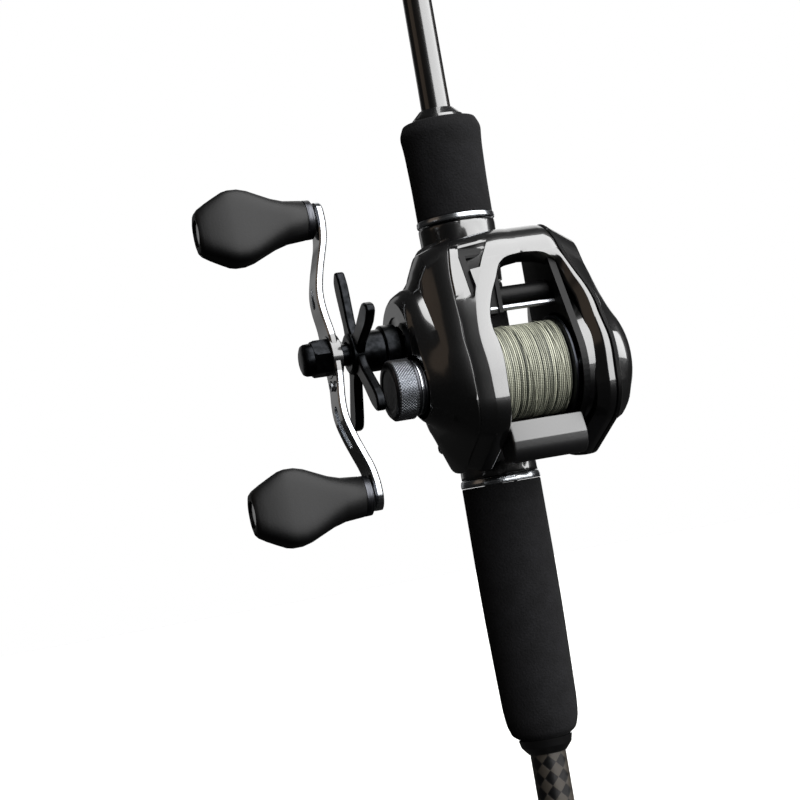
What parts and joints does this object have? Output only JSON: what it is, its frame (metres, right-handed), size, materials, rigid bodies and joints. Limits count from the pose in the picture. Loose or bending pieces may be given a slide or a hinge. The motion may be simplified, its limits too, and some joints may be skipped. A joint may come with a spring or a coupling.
{
  "type": "baitcasting fishing rod and reel",
  "caption": "Casting rod in a butt and a tip section with foam grips, guides and a low-profile level-wind reel spooled with braided line.",
  "frame": {"origin": "centre of the butt cap's flat end face", "axes": "+Z from the butt to the tip along the blank; -Y towards the side that the reel and the guides are on; the crank is on -X"},
  "size_m": [0.1282, 0.0826, 1.98],
  "materials": {
    "foam": "matte EVA foam",
    "blank": "gloss lacquer over carbon fibre",
    "carbon": "gloss woven carbon",
    "trim": "gloss black",
    "silver": "polished ring",
    "seat": "gloss black nylon",
    "guide": "dark plated steel",
    "ceramic": "polished ceramic",
    "wrap": "thread under clear resin",
    "case": "gloss black",
    "frame": "satin black paint",
    "dark_metal": "dark anodised",
    "steel": "bright steel",
    "brass": "machined",
    "line": "braided line",
    "knob": "soft-touch grip",
    "thumb": "satin grey-black",
    "nylon": "moulded acetal"
  },
  "bodies": {
    "rod": {"butt_cap": "trim", "butt_grip": "foam", "butt_grip_check": "trim", "butt_blank": "blank", "carbon_wrap": "carbon", "rear_grip_check": "trim", "rear_grip": "foam", "rear_grip_ring": "silver", "reel_seat": "seat", "butt_guide_frames": "guide", "butt_guide_rings": "ceramic", "butt_wraps": "wrap", "reel_foot": "frame", "reel_frame": "frame", "top_cover": "case", "gear_side_plate": "case", "case_screws": "steel", "spool_bearings": "steel", "one_way_bearing": "steel", "worm_shield": "trim", "guide_bar": "steel", "yoke_springs": "steel"},
    "tip_section": {"tip_blank": "blank", "tip_guide_frames": "guide", "tip_guide_rings": "ceramic", "tip_wraps": "wrap", "tip_top": "guide", "tip_top_ring": "ceramic"},
    "hood": {"sliding_hood": "seat"},
    "grip_nut": {"lock_nut": "steel", "fore_grip": "foam", "fore_grip_ring": "silver", "fore_grip_check": "trim"},
    "palm_plate": {"palm_side_plate": "case"},
    "dial": {"brake_dial": "trim"},
    "magnets": {"brake_magnets": "steel"},
    "spool_unit": {"spool": "dark_metal", "spool_shaft": "steel", "line_pack": "line"},
    "crank": {"main_gear": "brass", "main_shaft": "steel", "drag_washers": "dark_metal", "handle_arm": "dark_metal", "handle_nut": "dark_metal", "nut_retainer": "steel", "knob_posts": "steel"},
    "star": {"drag_star": "dark_metal"},
    "upper_grip": {"upper_knob": "knob", "upper_knob_cap": "trim"},
    "lower_grip": {"lower_knob": "knob", "lower_knob_cap": "trim"},
    "yoke": {"clutch_yoke": "steel"},
    "pinion": {"pinion_gear": "brass"},
    "cam": {"clutch_cam": "steel"},
    "thumb": {"thumb_bar": "thumb"},
    "tension_cap": {"cast_cap": "dark_metal"},
    "level_worm": {"worm": "steel", "worm_gear": "nylon"},
    "carriage": {"line_guide": "trim", "guide_insert": "ceramic"}
  },
  "joints": [
    {"name": "tip_pull", "type": "slide", "parent": "rod", "child": "tip_section", "axis": [0, 0, 1], "range_m": [0, 0.1]},
    {"name": "fore_grip_turn", "type": "hinge", "parent": "hood", "child": "grip_nut", "pos_m": [0, 0, 0.39], "axis": [0, 0, 1], "range_deg": [0, 1080]},
    {"name": "hood_slide", "type": "slide", "parent": "rod", "child": "hood", "axis": [0, 0, 1], "range_m": [0, 0.0046]},
    {"name": "palm_plate_off", "type": "slide", "parent": "rod", "child": "palm_plate", "axis": [1, 0, 0], "range_m": [0, 0.02]},
    {"name": "brake_dial_turn", "type": "hinge", "parent": "palm_plate", "child": "dial", "pos_m": [0.035, -0.032, 0.317], "axis": [1, 0, 0], "range_deg": [0, 270]},
    {"name": "magnet_travel", "type": "slide", "parent": "palm_plate", "child": "magnets", "axis": [1, 0, 0], "range_m": [0, 0.0015]},
    {"name": "crank_turn", "type": "hinge", "parent": "rod", "child": "crank", "pos_m": [-0.054, -0.021, 0.33125], "axis": [1, 0, 0], "continuous": true},
    {"name": "drag_star_turn", "type": "hinge", "parent": "crank", "child": "star", "pos_m": [-0.048, -0.021, 0.33125], "axis": [1, 0, 0], "range_deg": [-360, 360]},
    {"name": "upper_knob_spin", "type": "hinge", "parent": "crank", "child": "upper_grip", "pos_m": [-0.073, -0.01467, 0.37631], "axis": [1, 0, 0], "continuous": true},
    {"name": "lower_knob_spin", "type": "hinge", "parent": "crank", "child": "lower_grip", "pos_m": [-0.073, -0.02733, 0.28619], "axis": [1, 0, 0], "continuous": true},
    {"name": "spool_spin", "type": "hinge", "parent": "rod", "child": "spool_unit", "pos_m": [0.002, -0.032, 0.317], "axis": [1, 0, 0], "continuous": true},
    {"name": "thumb_press", "type": "slide", "parent": "rod", "child": "thumb", "axis": [0, 1, 0], "range_m": [0, 0.004]},
    {"name": "cam_turn", "type": "hinge", "parent": "rod", "child": "cam", "pos_m": [-0.0149, -0.032, 0.317], "axis": [1, 0, 0], "range_deg": [-1, 26]},
    {"name": "yoke_lift", "type": "slide", "parent": "rod", "child": "yoke", "axis": [-1, 0, 0], "range_m": [0, 0.0015], "deforming": ["yoke_springs"]},
    {"name": "pinion_spin", "type": "hinge", "parent": "yoke", "child": "pinion", "pos_m": [-0.018, -0.032, 0.317], "axis": [1, 0, 0], "continuous": true},
    {"name": "cast_cap_turn", "type": "hinge", "parent": "rod", "child": "tension_cap", "pos_m": [-0.036, -0.032, 0.317], "axis": [1, 0, 0], "range_deg": [-360, 360]},
    {"name": "worm_spin", "type": "hinge", "parent": "rod", "child": "level_worm", "pos_m": [0.002, -0.03, 0.34197], "axis": [1, 0, 0], "continuous": true},
    {"name": "guide_travel", "type": "slide", "parent": "rod", "child": "carriage", "axis": [1, 0, 0], "range_m": [-0.0015, 0.0165]}
  ],
  "couplings": [
    {"joint": "hood_slide", "follows": "fore_grip_turn", "m_per_rad": 0.00023873},
    {"joint": "brake_dial_turn", "follows": "magnet_travel", "rad_per_m": 3141.6},
    {"joint": "spool_spin", "follows": "crank_turn", "ratio": -6.2},
    {"joint": "pinion_spin", "follows": "crank_turn", "ratio": -6.2},
    {"joint": "worm_spin", "follows": "crank_turn", "ratio": -1.1538},
    {"joint": "cam_turn", "follows": "thumb_press", "rad_per_m": 108},
    {"joint": "yoke_lift", "follows": "thumb_press", "ratio": 0.35}
  ]
}
